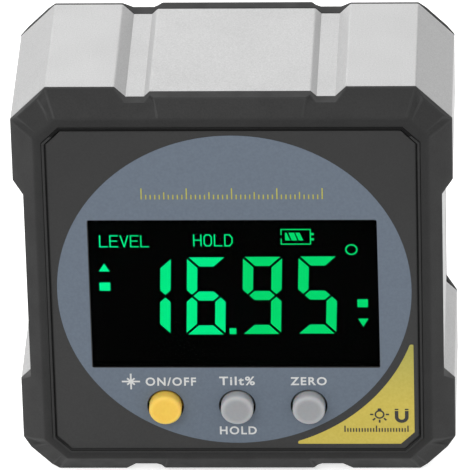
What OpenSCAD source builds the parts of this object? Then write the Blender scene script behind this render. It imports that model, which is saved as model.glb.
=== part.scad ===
// Square digital angle gauge. An extruded aluminium frame sits between two moulded covers.
// The front cover carries a display face and three push buttons, a magnet lies behind each side,
// and two cells lie in a bay behind a snap-in door at the back.
// X runs to the right, Y from the face to the back, Z up. The origin is under the middle of the gauge.

/* [Case] */
// Width across the side lands
case_w = 60; // [59.5:0.5:66]
// Height across the top and bottom lands
case_h = 60; // [59:0.5:66]
// Depth of the aluminium frame
frame_d = 24; // [23.5:0.5:28]
// How far each cover stands out from the frame
cover_d = 3.8; // [3.6:0.1:4.6]
// Leg of the cut across each corner
corner_cut = 4.9; // [4.2:0.1:5.5]
// Length of each corner land
land_len = 9.4; // [8:0.1:10]
// Depth of the grooves beside the lands
groove_d = 1.5; // [1:0.1:1.8]
// Width of a groove's flat floor
groove_w = 2.5; // [1.5:0.1:3.5]
// How far the centre lands lie below the corner lands
centre_drop = 0.7; // [0.3:0.1:0.9]

/* [Cover rim] */
// Straight strip of the rim next to the frame
rim_strip = 0.3; // [0.2:0.05:0.6]
// How far in front of the frame the bevel turns flatter
bevel_break = 1.9; // [1.6:0.1:2.4]
// Width of the bevel, seen from the front
bevel_w = 4.4; // [4:0.1:4.6]
// Width of the raised lip round the face
lip_w = 0.3; // [0.2:0.05:0.6]
// Height of that lip over the bevel
lip_h = 0.12; // [0.05:0.01:0.25]
// Width of the fine groove outside the lip
lip_groove = 0.1; // [0.08:0.01:0.2]
// Width of the flatter band between the bevel and the lip
band_w = 1.2; // [0.8:0.1:1.5]
// How much that band rises towards the lip
band_rise = 0.33; // [0.2:0.01:0.5]
// How far the centre lands run forward on a cover
centre_reach = 1.8; // [1.5:0.1:2.2]
// How much narrower each end of a centre land is at the band
centre_taper = 1.1; // [0.6:0.1:2]
// Straight strip of a corner pad next to the frame
pad_strip = 1.3; // [1:0.1:1.6]
// How far each end of a corner pad stops short of its corner's end
pad_inset = 0.5; // [0.4:0.1:1]
// How much narrower each end of a corner pad is at the front of its strip
pad_run = 1.2; // [0.6:0.1:1.4]
// How much narrower each end of a corner pad is at the band
pad_taper = 1.6; // [1.2:0.1:2]

/* [Cover walls] */
// Thickness of the flat front and back walls
wall_t = 1.5; // [1.3:0.1:2]
// Length of the spigot that each cover pushes into the frame
spigot_l = 3; // [2:0.1:4]
// Wall of the spigot
spigot_t = 1.2; // [1:0.1:1.4]
// Gap between a spigot and the frame
spigot_clear = 0.12; // [0.05:0.01:0.2]
// Thickness of the ribs round the display
rib_t = 0.9; // [0.7:0.1:1]

/* [Face] */
// How far the face lies below the lip
face_drop = 0.3; // [0.1:0.05:0.5]
// Thickness of the face overlay
overlay_t = 0.4; // [0.2:0.05:0.5]
// Gap between the overlay and the lip
overlay_gap = 0.25; // [0.1:0.05:0.35]
// Width of the display window
window_w = 39.5; // [36:0.5:40]
// Height of the display window
window_h = 23.2; // [20:0.1:23.4]
// Height of the window's middle over the middle of the case
window_z = -0.4; // [-0.6:0.1:0.6]

/* [Buttons] */
// Diameter of a button cap
button_d = 4.65; // [4:0.05:5]
// How far a cap stands out from the face
button_out = 1.5; // [1:0.1:2]
// Rounding of a cap's front edge
button_round = 0.5; // [0.2:0.05:0.8]
// Distance between neighbouring buttons
button_pitch = 9.9; // [9:0.1:10.5]
// Height of the button row over the middle of the case
button_z = -18.2; // [-18.8:0.1:-18.1]
// Travel of a button when pressed
button_travel = 0.5; // [0.3:0.05:0.6]
// Gap round a cap in its hole
button_clear = 0.17; // [0.1:0.01:0.25]
// Diameter of the flange that keeps a cap in
flange_d = 6.4; // [6:0.1:6.6]
// Thickness of that flange
flange_t = 0.8; // [0.6:0.1:1]

/* [Display] */
// Overlap of the window's flange behind the overlay
lens_flange = 1.2; // [0.8:0.1:1.4]
// Thickness of the window's flange
lens_flange_t = 0.7; // [0.5:0.05:0.9]
// Overlap of the display glass behind the window
lcd_margin = 1.6; // [1:0.1:1.8]
// Thickness of the display glass, two panes
lcd_t = 1.9; // [1.6:0.1:2.2]
// Height of the contact ledge at the top of the front pane
lcd_ledge = 2.2; // [1.8:0.1:2.6]
// Thickness of the light panel behind the glass
backlight_t = 2; // [1.6:0.1:2.4]

/* [Board] */
// Thickness of the circuit board
board_t = 1.2; // [0.8:0.1:1.6]
// Gap between the board's edge and the spigot
board_gap = 0.5; // [0.3:0.1:1]
// Side of a push switch's square body
switch_w = 4.2; // [3.8:0.1:5]
// Height of a push switch's body
switch_h = 2; // [1.8:0.1:2.2]
// Diameter of a switch plunger
plunger_d = 2; // [1.6:0.1:2.4]
// Height of the lower board screws over the ground
board_screw_z = 8; // [7.6:0.1:9]
// Distance of the board screws from the middle
board_screw_x = 16; // [15.5:0.1:17]

/* [Magnets] */
// Width of a magnet bar
magnet_w = 14; // [10:0.5:16]
// Length of a magnet bar, front to back
magnet_l = 20; // [16:0.5:22]
// Thickness of a magnet bar
magnet_t = 1.5; // [1.2:0.1:1.6]
// Thickness of the frame outside a magnet
magnet_roof = 0.8; // [0.7:0.1:1]
// Thickness of the lips that hold a magnet in its slot
slot_lip = 0.6; // [0.5:0.1:0.7]
// Overlap of each lip on its magnet
slot_hold = 2; // [1.5:0.1:2.5]
// Gap round a magnet in its slot
slot_clear = 0.1; // [0.05:0.01:0.15]

/* [Cells] */
// Diameter of a cell
cell_d = 10.3; // [9.8:0.1:10.5]
// Length of a cell with its nub
cell_l = 44.5; // [43:0.1:44.6]
// Gap between the two cells
cell_gap = 0.9; // [0.6:0.1:1.4]
// Gap round a cell in its bay
cell_clear = 0.3; // [0.2:0.05:0.4]
// Wall of the bay
bay_t = 1.2; // [1:0.1:1.4]
// Thickness of the contact plates
contact_t = 0.4; // [0.3:0.05:0.5]
// Height of a contact's dimple
dimple_h = 0.6; // [0.4:0.1:0.7]
// Pressed length of a coil spring
spring_h = 2.4; // [2.2:0.1:2.5]
// Wire of a coil spring
spring_wire = 0.5; // [0.4:0.05:0.55]

/* [Battery door] */
// Length of the door opening beyond a cell
door_extra = 2.5; // [1.5:0.1:3]
// Width of the seat under the door's long edges
door_seat = 1; // [0.8:0.1:1.1]
// Gap round the door
door_gap = 0.2; // [0.15:0.01:0.3]
// Corner radius of the door
door_r = 1.5; // [1:0.1:2.5]
// Width of each door tongue
tongue_w = 6; // [4:0.5:8]
// Distance of the tongues from the middle
tongue_x = 14; // [10:0.5:17]
// Width of the snap finger
finger_w = 9; // [6:0.5:12]

/* [Screws] */
// Diameter of the pillars that the case screws join
pillar_d = 5.4; // [5.2:0.1:5.6]
// Thread diameter of a case screw
case_screw_d = 2; // [1.8:0.1:2.2]
// Length of a case screw under its head
case_screw_l = 12; // [8:0.5:13]
// Thread diameter of a board screw
board_screw_d = 1.7; // [1.6:0.1:1.8]
// Length of a board screw under its head
board_screw_l = 4.6; // [4:0.1:4.8]

/* [Hidden] */
$fn = 64;

// Small gaps and overlaps that several pieces share
fuse = 0.2;
through = 1;
touch_gap = 0.05;
part_gap = 0.1;
seat_gap = 0.1;
thread_clear = 0.05;
hole_clear = 0.15;

// Depth positions, from the face to the back
frame_mid = (button_out - face_drop) / 2;
y_front = frame_mid - frame_d / 2;
y_rear = frame_mid + frame_d / 2;
y_lip = y_front - cover_d;
y_face = y_lip + face_drop;
y_seat = y_face + overlay_t;
y_wall = y_seat + wall_t;
y_back = y_rear + cover_d;
y_back_face = y_back - face_drop;
y_back_wall = y_back_face - wall_t;
y_lcd = y_wall + part_gap;
y_light = y_lcd + lcd_t;
y_board = y_light + backlight_t + part_gap;
y_board_back = y_board + board_t;
mid_z = case_h / 2;
screen_z = mid_z + window_z;
row_z = mid_z + button_z;

// Rim and field outlines
groove_rise = groove_d - centre_drop;
centre_half = case_w / 2 - corner_cut - land_len - groove_d - groove_w - groove_rise;
shoulder = bevel_w - band_w;
y_shoulder = y_lip + lip_h + band_rise;
field_inset = bevel_w + lip_w;
lip_groove_d = 0.25;
pad_over = 0.3;
pad_sink = 0.06;
overlay_inset = field_inset + overlay_gap;

// Inside of the frame, worked out from the magnet slots
slot_t = magnet_t + slot_clear;
slot_w = magnet_w + 2 * slot_clear;
cavity_x = case_w / 2 - groove_d - magnet_roof - slot_t - slot_lip;
cavity_z = case_h / 2 - centre_drop - magnet_roof - slot_t - slot_lip;
corner_wall = 3;
cavity_cut = max(fuse, cavity_x + cavity_z - (case_w / 2 + case_h / 2 - corner_cut) + corner_wall * sqrt(2));

// Display stack
lcd_w = window_w + 2 * lcd_margin;
lcd_h = window_h + 2 * lcd_margin;
pane_t = lcd_t / 2;
lens_clear = 0.05;
light_end = 2;
lcd_clear = 0.2;
rib_w = lcd_w + 2 * lcd_clear;
rib_z0 = screen_z - lcd_h / 2 - lcd_clear;
rib_z1 = screen_z + lcd_h / 2 + lcd_ledge + lcd_clear;
zebra_h = 1.6;
zebra_end = 1.5;

// Board
board_x = cavity_x - spigot_clear - spigot_t - board_gap;
board_z = cavity_z - spigot_clear - spigot_t - board_gap;
pillar_inset = 0.5;
pillar_x = cavity_x - pillar_d / 2 - pillar_inset;
pillar_z = cavity_z - pillar_d / 2 - pillar_inset;
pillar_clear = 0.5;
board_boss_d = 3.8;
board_screw_z2 = rib_z1 + rib_t + board_boss_d / 2 + fuse;
plunger_show = 0.5;
plunger_in = 0.6;
stem_d = 2.6;
drop_r = 4.5;
drop_h = 1.4;
sensor_w = 3;
sensor_h = 1;
sensor_x = 9;
crystal_l = 3.2;
crystal_w = 1.5;
crystal_h = 0.8;
crystal_x = 9;
crystal_z = 6;
passive_n = 6;
passive_w = 0.8;
passive_l = 1.6;
passive_pitch = 3;
passive_z = 12;
led_h = 3;
led_gap = 0.3;

// Cells, bay and door
contact_side = 8.4;
bay_l = cell_l + spring_h + dimple_h + 2 * (contact_t + touch_gap);
bay_h = 2 * cell_d + cell_gap + 2 * cell_clear;
bay_end_t = 1;
cell_z = (cell_d + cell_gap) / 2;
y_cell = y_back_wall - cell_clear - cell_d / 2;
y_floor = y_cell - cell_d / 2 - cell_clear;
y_bay = y_floor - bay_t;
cradle_h = 2.3;
cradle_end = 4;
cell_nub_d = 3.8;
cell_nub_l = 1;
cell_edge = 0.4;
plate_x = bay_l / 2 - touch_gap - contact_t;
tab_w = 2.4;
tab_out = 1.2;
tab_clear = 0.2;
dimple_d = 3;
spring_turns = 3.5;
spring_steps = 50;
spring_r0 = 3.6;
spring_r1 = 2.1;
open_w = cell_l + door_extra;
open_h = bay_h + 2 * door_seat;
door_w = open_w - 2 * door_gap;
door_h = open_h - 2 * door_gap;
door_top = mid_z + door_h / 2;
door_bottom = mid_z - door_h / 2;
tongue_t = 1.05;
tongue_drop = 0.2;
tongue_out = 1.5;
tongue_root = 2.6;
tongue_room = 2.2;
tongue_clear = 0.4;
finger_t = 0.9;
finger_l = 2;
finger_gap = 0.25;
finger_nose = 0.35;
finger_nose_l = 0.8;
finger_room = 0.6;
grip_lines = 3;
grip_w = 0.6;
grip_pitch = 1.5;
grip_l = 14;
grip_depth = 0.35;
nail_r = 7;
nail_depth = 0.8;

// Case screws
screw_wall = 2.5;
screw_split = 7;
screw_head_d = 3.8;
screw_head_h = 1.5;
screw_sink_d = 4.4;
screw_tip = 1;
cross_w = 0.6;
cross_l = 2.2;
cross_depth = 0.7;
y_split = y_rear - screw_split;
y_screw = y_split + screw_wall;
board_head_d = 3.2;
board_head_h = 1.2;

// Wires
wire_d = 1.1;
wire_sides = 8;
wire_steps = 14;
wire_bend = 4;
wire_pad_x = 15;
wire_pad_z = 9;

// Colours
aluminium = "#cfd0d1";
charcoal = "#404041";
yellow = "#f0c655";
cap_grey = "#9a9ea2";
board_green = "#2b5f3c";
steel = "#b9babb";
black = "#161617";

// Drawing helpers

// Extrudes a shape that is drawn in X and Z from depth y0 to depth y1
module along_y(y0, y1) {
    translate([0, y1, 0]) rotate([90, 0, 0]) linear_extrude(height = y1 - y0) children();
}

// Round bar along Y
module rod(x, z, y0, y1, d) {
    translate([x, y1, z]) rotate([90, 0, 0]) cylinder(h = y1 - y0, d = d);
}

// Block between two depths, centred on x and z
module slab(x, z, w, h, y0, y1) {
    translate([x - w / 2, y0, z - h / 2]) cube([w, y1 - y0, h]);
}

// Rectangle with round corners, centred on the origin
module round_rect(w, h, r) {
    square([w - 2 * r, h], center = true);
    square([w, h - 2 * r], center = true);
    for (i = [-1, 1], j = [-1, 1]) translate([i * (w / 2 - r), j * (h / 2 - r)]) circle(r = r);
}

// Solid skin over a row of rings that turn left about the way they run
module skin(rings) {
    n = len(rings[0]);
    last = (len(rings) - 1) * n;
    sides = [for (k = [0 : len(rings) - 2], j = [0 : n - 1])
        [(k + 1) * n + j, (k + 1) * n + (j + 1) % n, k * n + (j + 1) % n, k * n + j]];
    caps = [[for (j = [0 : n - 1]) j], [for (j = [n - 1 : -1 : 0]) last + j]];
    polyhedron(points = [for (r = rings, p = r) p], faces = concat(sides, caps));
}

// Mirrors front-cover features to the back
module to_back() {
    translate([0, 2 * frame_mid, 0]) mirror([0, 1, 0]) children();
}

// Outlines, drawn in X and Z

// Octagon of the case, moved inward by d on every side
function octagon(d) = let (
    w = case_w / 2 - d, h = case_h / 2 - d, c = corner_cut - d * (2 - sqrt(2)))
    [[-w + c, mid_z - h], [w - c, mid_z - h], [w, mid_z - h + c], [w, mid_z + h - c],
     [w - c, mid_z + h], [-w + c, mid_z + h], [-w, mid_z + h - c], [-w, mid_z - h + c]];

// Left half of the bottom edge: land, groove and centre land
function bottom_half() = let (x0 = corner_cut - case_w / 2, x1 = x0 + land_len,
    x2 = x1 + groove_d, x3 = x2 + groove_w)
    [[x0, 0], [x1, 0], [x2, groove_d], [x3, groove_d], [x3 + groove_rise, centre_drop]];

// Lower half of the right edge: land and recess
function right_half() = let (x = case_w / 2, z = corner_cut + land_len)
    [[x, corner_cut], [x, z], [x - groove_d, z + groove_d]];

function flip_x(pts) = [for (i = [len(pts) - 1 : -1 : 0]) [-pts[i][0], pts[i][1]]];
function flip_z(pts) = [for (i = [len(pts) - 1 : -1 : 0]) [pts[i][0], case_h - pts[i][1]]];
function half_turn(pts) = [for (p = pts) [-p[0], case_h - p[1]]];

// Outline shared by the frame and both covers
module case_outline() {
    bottom = concat(bottom_half(), flip_x(bottom_half()));
    right = concat(right_half(), flip_z(right_half()));
    polygon(concat(bottom, right, half_turn(bottom), half_turn(right)));
}

// Inside of the frame, moved inward by d
module cavity_outline(d) {
    w = cavity_x - d;
    h = cavity_z - d;
    c = max(fuse, cavity_cut - d * (2 - sqrt(2)));
    translate([0, mid_z]) polygon([[-w + c, -h], [w - c, -h], [w, -h + c], [w, h - c],
                                   [w - c, h], [-w + c, h], [-w, h - c], [-w, -h + c]]);
}

// Slot for one magnet, drawn on the top side of a cavity with the given half size
module magnet_slot(half) {
    translate([0, half + slot_lip + slot_t / 2]) square([slot_w, slot_t], center = true);
    translate([0, half + slot_lip / 2]) square([slot_w - 2 * slot_hold, slot_lip + 2 * fuse], center = true);
}

// Runs its child once for each side: turn about the middle and half size of the cavity there
module each_side() {
    for (side = [[0, cavity_z], [90, cavity_x], [180, cavity_z], [270, cavity_x]]) {
        $half = side[1];
        translate([0, mid_z]) rotate(side[0]) children();
    }
}

// Places of the four pillars and of the four board screws
module at_pillars() {
    for (i = [-1, 1], j = [-1, 1]) translate([i * pillar_x, 0, mid_z + j * pillar_z]) children();
}
module at_board_screws() {
    for (i = [-1, 1], z = [board_screw_z, board_screw_z2]) translate([i * board_screw_x, 0, z]) children();
}

// Case pieces

module frame() {
    color(aluminium) along_y(y_front, y_rear) difference() {
        case_outline();
        cavity_outline(0);
        each_side() magnet_slot($half);
    }
}

function rim_ring(inset, y) = [for (p = octagon(inset)) [p[0], y, p[1]]];

// Convex bevel, flatter band and corner pads that follow the case outline, with mitred corners
module rim_bevel() {
    intersection() {
        skin([rim_ring(0, y_front), rim_ring(0, y_front - rim_strip),
              rim_ring(groove_d, y_front - bevel_break), rim_ring(shoulder, y_shoulder),
              rim_ring(bevel_w, y_lip + lip_h)]);
        along_y(y_lip - through, y_front + through) case_outline();
    }
}

// Proud bevel in front of a centre land: a side profile trimmed to a taper
module centre_bevel() {
    z_out = case_h - centre_drop;
    z_in = case_h - shoulder;
    intersection() {
        translate([-centre_half, 0, 0]) rotate([90, 0, 90]) linear_extrude(height = 2 * centre_half)
            polygon([[y_front - fuse, z_in], [y_shoulder, z_in],
                     [y_front - centre_reach, z_out], [y_front - fuse, z_out]]);
        along_y(y_lip - through, y_front + through)
            polygon([[centre_taper - centre_half, z_in], [centre_half - centre_taper, z_in],
                     [centre_half, z_out], [-centre_half, z_out]]);
    }
}

// Proud pad across each corner: a side profile whose flat ends lean in towards the band
module corner_pads() {
    half = corner_cut / sqrt(2) - pad_inset;
    y_in = y_shoulder + pad_sink;
    y_pad = y_front - pad_strip;
    fall = (y_pad - y_in) / shoulder;
    lean = pad_run / pad_strip;
    drift = (pad_taper - lean * (y_front - y_in)) / shoulder;
    profile = [[y_in, -shoulder], [y_front, -shoulder],
               [y_front, pad_over], [y_pad + fall * pad_over, pad_over]];
    reach = [for (p = profile) half + lean * (p[0] - y_front) + drift * p[1]];
    intersection() {
        for (i = [-1, 1], j = [-1, 1])
            translate([i * (case_w - corner_cut) / 2, 0, mid_z + j * (case_h - corner_cut) / 2])
                rotate([0, atan2(i, j), 0])
                    skin([for (side = [-1, 1])
                        [for (k = [0 : 3]) [side * reach[k], profile[k][0], profile[k][1]]]]);
        along_y(y_lip - through, y_front + through) case_outline();
    }
}

// Rim, lip and spigot that both covers share, with the inside hollowed out
module cover_shell(field_y, inner_y) {
    difference() {
        union() {
            rim_bevel();
            corner_pads();
            centre_bevel();
            translate([0, 0, case_h]) mirror([0, 0, 1]) centre_bevel();
            along_y(y_lip, y_front - fuse) polygon(octagon(bevel_w));
            along_y(y_front - fuse, y_front + spigot_l) cavity_outline(spigot_clear);
        }
        along_y(y_lip - through, field_y) polygon(octagon(field_inset));
        along_y(y_lip - through, y_lip + lip_h + lip_groove_d) difference() {
            polygon(octagon(bevel_w - lip_groove));
            polygon(octagon(bevel_w));
        }
        along_y(inner_y, y_front + spigot_l + through) cavity_outline(spigot_clear + spigot_t);
    }
}

module front_cover() {
    color(charcoal) difference() {
        union() {
            cover_shell(y_seat, y_wall);
            at_pillars() rod(0, 0, y_wall - fuse, y_split - part_gap / 2, pillar_d);
            at_board_screws() rod(0, 0, y_wall - fuse, y_board - touch_gap, board_boss_d);
            difference() {
                slab(0, (rib_z0 + rib_z1) / 2, rib_w + 2 * rib_t, rib_z1 - rib_z0 + 2 * rib_t,
                     y_wall - fuse, y_board - part_gap);
                slab(0, (rib_z0 + rib_z1) / 2, rib_w, rib_z1 - rib_z0, y_wall - 2 * fuse, y_board);
            }
        }
        slab(0, screen_z, window_w + 2 * (lens_flange + lens_clear),
             window_h + 2 * (lens_flange + lens_clear),
             y_seat - through, y_seat + lens_flange_t + lens_clear);
        slab(0, screen_z, window_w + 2 * lens_clear, window_h + 2 * lens_clear, y_seat, y_wall + through / 2);
        for (i = [-1, 0, 1]) rod(i * button_pitch, row_z, y_seat - through, y_wall + fuse,
                                 button_d + 2 * button_clear);
        at_pillars() rod(0, 0, y_screw - case_screw_l - screw_tip, y_split + through,
                         case_screw_d + 2 * thread_clear);
        at_board_screws() rod(0, 0, y_board_back - board_screw_l - part_gap, y_board + through,
                              board_screw_d + 2 * thread_clear);
    }
}

module rear_cover() {
    color(charcoal) difference() {
        union() {
            to_back() cover_shell(y_face, y_face + wall_t);
            at_pillars() rod(0, 0, y_split + part_gap / 2, y_back_wall + fuse, pillar_d);
            bay_walls();
        }
        along_y(y_back_wall - seat_gap, y_back_face + through)
            translate([0, mid_z]) round_rect(open_w, open_h, door_r + door_gap);
        at_pillars() rod(0, 0, y_split - through, y_back_face, case_screw_d + 2 * hole_clear);
        at_pillars() rod(0, 0, y_screw, y_back_face + through, screw_sink_d);
        for (i = [-1, 1]) slab(i * tongue_x, door_top,
                               tongue_w + 2 * tongue_clear, 2 * (tongue_out + tongue_clear),
                               y_back_wall - tongue_drop - tongue_t - tongue_room, y_back_wall);
        slab(0, mid_z - bay_h / 2, finger_w + 2 * tongue_clear, 2 * finger_room,
             y_back_wall - finger_l - finger_room, y_back_wall + fuse);
        translate([0, y_back_face + nail_r - nail_depth, mid_z - open_h / 2]) sphere(r = nail_r);
    }
}

// Box that holds the cells, with a round cradle under each
module bay_walls() {
    difference() {
        slab(0, mid_z, bay_l + 2 * bay_end_t, bay_h + 2 * bay_t, y_bay, y_back_wall + fuse);
        difference() {
            slab(0, mid_z, bay_l, bay_h, y_floor, y_back_face + through);
            slab(0, mid_z, bay_l - 2 * cradle_end, bay_h + through, y_bay, y_floor + cradle_h);
        }
        for (j = [-1, 1]) translate([-bay_l / 2, y_cell, mid_z + j * cell_z]) rotate([0, 90, 0])
            cylinder(h = bay_l, r = cell_d / 2 + cell_clear / 2);
        for (j = [-1, 1]) slab(-plate_x - contact_t / 2, mid_z + j * cell_z, contact_t + tab_clear,
                               tab_w + 2 * tab_clear, y_bay - through, y_floor + through);
    }
}

// Face and display

module face_overlay() {
    color("#474849") along_y(y_face, y_seat) difference() {
        polygon(octagon(overlay_inset));
        translate([0, screen_z]) square([window_w, window_h], center = true);
        for (i = [-1, 0, 1]) translate([i * button_pitch, row_z]) circle(d = button_d + 2 * button_clear);
    }
}

// Clear window with a flange that the overlay holds down
module display_window() {
    color("#0a0d0b") {
        slab(0, screen_z, window_w - 2 * lens_clear, window_h - 2 * lens_clear,
             y_face, y_seat + lens_flange_t);
        slab(0, screen_z, window_w + 2 * lens_flange, window_h + 2 * lens_flange,
             y_seat, y_seat + lens_flange_t);
    }
}

// Two glass panes, the front one longer at the top for its contacts
module lcd_panel() {
    color("#0c110e") {
        slab(0, screen_z + lcd_ledge / 2, lcd_w, lcd_h + lcd_ledge, y_lcd, y_lcd + pane_t);
        slab(0, screen_z, lcd_w, lcd_h, y_lcd + pane_t - fuse, y_light);
    }
}

module backlight_panel() {
    color("#e8eae6") slab(0, screen_z, lcd_w - 2 * light_end, lcd_h, y_light, y_light + backlight_t);
}

module backlight_led() {
    color("#e9e4cf") slab(light_end / 2 - lcd_w / 2, screen_z, light_end - led_gap, led_h,
                          y_light + led_gap, y_board);
}

module zebra_strip() {
    color("#3a3a3c") slab(0, screen_z + lcd_h / 2 + lcd_ledge / 2, lcd_w - 2 * zebra_end, zebra_h,
                          y_lcd + pane_t, y_board);
}

// Circuit board and what is soldered to it

module main_board() {
    cut = pillar_d + pillar_clear + 2 * pillar_inset;
    color(board_green) difference() {
        slab(0, mid_z, 2 * board_x, 2 * board_z, y_board, y_board_back);
        at_pillars() slab(0, 0, cut, cut, y_board - through, y_board_back + through);
        at_board_screws()
            rod(0, 0, y_board - through, y_board_back + through, board_screw_d + 2 * hole_clear);
    }
}

// Drop of black resin over the bare controller
module controller_chip() {
    color(black) translate([0, y_board_back, mid_z]) rotate([-90, 0, 0]) rotate_extrude()
        polygon(concat([[0, 0]], [for (t = [0 : 15 : 90]) [drop_r * cos(t), drop_h * sin(t)]]));
}

module tilt_sensor() {
    color(black) slab(sensor_x, mid_z, sensor_w, sensor_w, y_board_back, y_board_back + sensor_h);
}

module crystal() {
    color(steel) slab(-crystal_x, mid_z + crystal_z, crystal_l, crystal_w,
                      y_board_back, y_board_back + crystal_h);
}

module board_passives() {
    color("#b59a72") for (i = [0 : passive_n - 1])
        slab((i - (passive_n - 1) / 2) * passive_pitch, mid_z + passive_z, passive_w, passive_l,
             y_board_back, y_board_back + passive_w);
}

// Square push switch with a well for its plunger
module push_switch(x) {
    color(black) difference() {
        slab(x, row_z, switch_w, switch_w, y_board - switch_h, y_board);
        rod(x, row_z, y_board - switch_h - through,
            y_board - switch_h + plunger_in + button_travel + part_gap, plunger_d + 2 * thread_clear);
    }
}

module plunger(x) {
    color("#d8d4c8") rod(x, row_z, y_board - switch_h - plunger_show - touch_gap / 2,
                         y_board - switch_h + plunger_in, plunger_d);
}

// Button cap: round-edged head, flange behind the wall, stem down to the plunger
module button(x, tint) {
    r = button_d / 2;
    q = min(button_round, button_out);
    y0 = y_face - button_out;
    a1 = y_wall + touch_gap - y0;
    a2 = y_board - switch_h - plunger_show - touch_gap - y0;
    edge = [for (t = [0 : 15 : 90]) [r - q + q * sin(t), q - q * cos(t)]];
    color(tint) translate([x, y0, row_z]) rotate([-90, 0, 0]) rotate_extrude()
        polygon(concat([[0, 0]], edge, [[r, a1], [flange_d / 2, a1], [flange_d / 2, a1 + flange_t],
                [stem_d / 2, a1 + flange_t], [stem_d / 2, a2], [0, a2]]));
}

module power_switch() { push_switch(-button_pitch); }
module tilt_switch() { push_switch(0); }
module zero_switch() { push_switch(button_pitch); }
module power_plunger() { plunger(-button_pitch); }
module tilt_plunger() { plunger(0); }
module zero_plunger() { plunger(button_pitch); }
module power_button() { button(-button_pitch, yellow); }
module tilt_button() { button(0, cap_grey); }
module zero_button() { button(button_pitch, cap_grey); }

// Magnets

// Magnet bar against the roof of its slot, on the side at the given turn
module magnet(turn, half) {
    color(steel) translate([0, 0, mid_z]) rotate([0, turn, 0])
        slab(0, half + slot_lip + slot_t - magnet_t / 2, magnet_w, magnet_t,
             frame_mid - magnet_l / 2, frame_mid + magnet_l / 2);
}

module magnet_top() { magnet(0, cavity_z); }
module magnet_right() { magnet(90, cavity_x); }
module magnet_bottom() { magnet(180, cavity_z); }
module magnet_left() { magnet(270, cavity_x); }

// Cells, contacts and wires

// Cell along X with its nub towards +X when way is 1
module cell(z, way) {
    r = cell_d / 2;
    body = cell_l - cell_nub_l;
    color("#55585c") translate([way * (spring_h + contact_t + touch_gap - bay_l / 2), y_cell, z])
        rotate([0, way * 90, 0]) rotate_extrude()
            polygon([[0, 0], [r - cell_edge, 0], [r, cell_edge], [r, body - cell_edge], [r - cell_edge, body],
                     [cell_nub_d / 2, body], [cell_nub_d / 2, cell_l], [0, cell_l]]);
}

module cell_upper() { cell(mid_z + cell_z, 1); }
module cell_lower() { cell(mid_z - cell_z, -1); }

// Flat plate, raised dimple and soldering tab of the contacts at the bay's ends
module contact_plate(side, z, h) {
    slab(side * (plate_x + contact_t / 2), z, contact_t, h,
         y_cell - contact_side / 2, y_cell + contact_side / 2);
}
module contact_dimple(side, z) {
    translate([side * (plate_x + fuse), y_cell, z]) rotate([0, -side * 90, 0])
        cylinder(h = dimple_h + fuse, d1 = dimple_d, d2 = dimple_d / 2);
}
module contact_tab(z) {
    slab(-plate_x - contact_t / 2, z, contact_t, tab_w, y_bay - tab_out, y_cell);
}

module contact_bridge() {
    color(steel) {
        contact_plate(1, mid_z, 2 * cell_z + contact_side);
        contact_dimple(1, mid_z + cell_z);
    }
}
module contact_positive() {
    color(steel) {
        contact_plate(-1, mid_z - cell_z, contact_side);
        contact_dimple(-1, mid_z - cell_z);
        contact_tab(mid_z - cell_z);
    }
}
module contact_negative() {
    color(steel) {
        contact_plate(-1, mid_z + cell_z, contact_side);
        contact_tab(mid_z + cell_z);
    }
}

// Cone-shaped coil spring between a plate and the flat end of a cell
module spring(side, z) {
    rise = spring_h - spring_wire - 2 * touch_gap;
    function ring(t) = let (a = 360 * spring_turns * t, r = spring_r0 + (spring_r1 - spring_r0) * t,
        c = [touch_gap + spring_wire / 2 + rise * t, r * cos(a), r * sin(a)], er = [0, cos(a), sin(a)])
        [for (b = [0 : 60 : 300]) c + spring_wire / 2 * (cos(b) * [1, 0, 0] + sin(b) * er)];
    color(steel) translate([side * plate_x, y_cell, z]) rotate([0, 0, side > 0 ? 180 : 0])
        skin([for (i = [0 : spring_steps]) ring(i / spring_steps)]);
}

module spring_upper() { spring(-1, mid_z + cell_z); }
module spring_lower() { spring(1, mid_z - cell_z); }

// Lead from a contact tab to the board, on a smooth S
function bezier(p, t) = pow(1 - t, 3) * p[0] + 3 * t * pow(1 - t, 2) * p[1]
    + 3 * t * t * (1 - t) * p[2] + pow(t, 3) * p[3];
function bezier_way(p, t) = let (v = 3 * pow(1 - t, 2) * (p[1] - p[0]) + 6 * t * (1 - t) * (p[2] - p[1])
    + 3 * t * t * (p[3] - p[2])) v / norm(v);
function wire_ring(p, t) = let (way = bezier_way(p, t), n0 = cross(way, [0, 0, 1]), n1 = n0 / norm(n0),
    n2 = cross(way, n1))
    [for (j = [0 : wire_sides - 1]) let (b = 360 * j / wire_sides)
        bezier(p, t) + wire_d / 2 * (cos(b) * n1 + sin(b) * n2)];

module wire(up) {
    start = [-plate_x - contact_t / 2, y_bay - tab_out, mid_z + up * cell_z];
    pad = [-wire_pad_x, y_board_back, mid_z + up * wire_pad_z];
    path = [start, start - [0, wire_bend, 0], pad + [0, wire_bend, 0], pad];
    skin([for (i = [0 : wire_steps]) wire_ring(path, i / wire_steps)]);
}

module wire_positive() { color("#b03028") wire(-1); }
module wire_negative() { color(black) wire(1); }

// Door and screws

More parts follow.
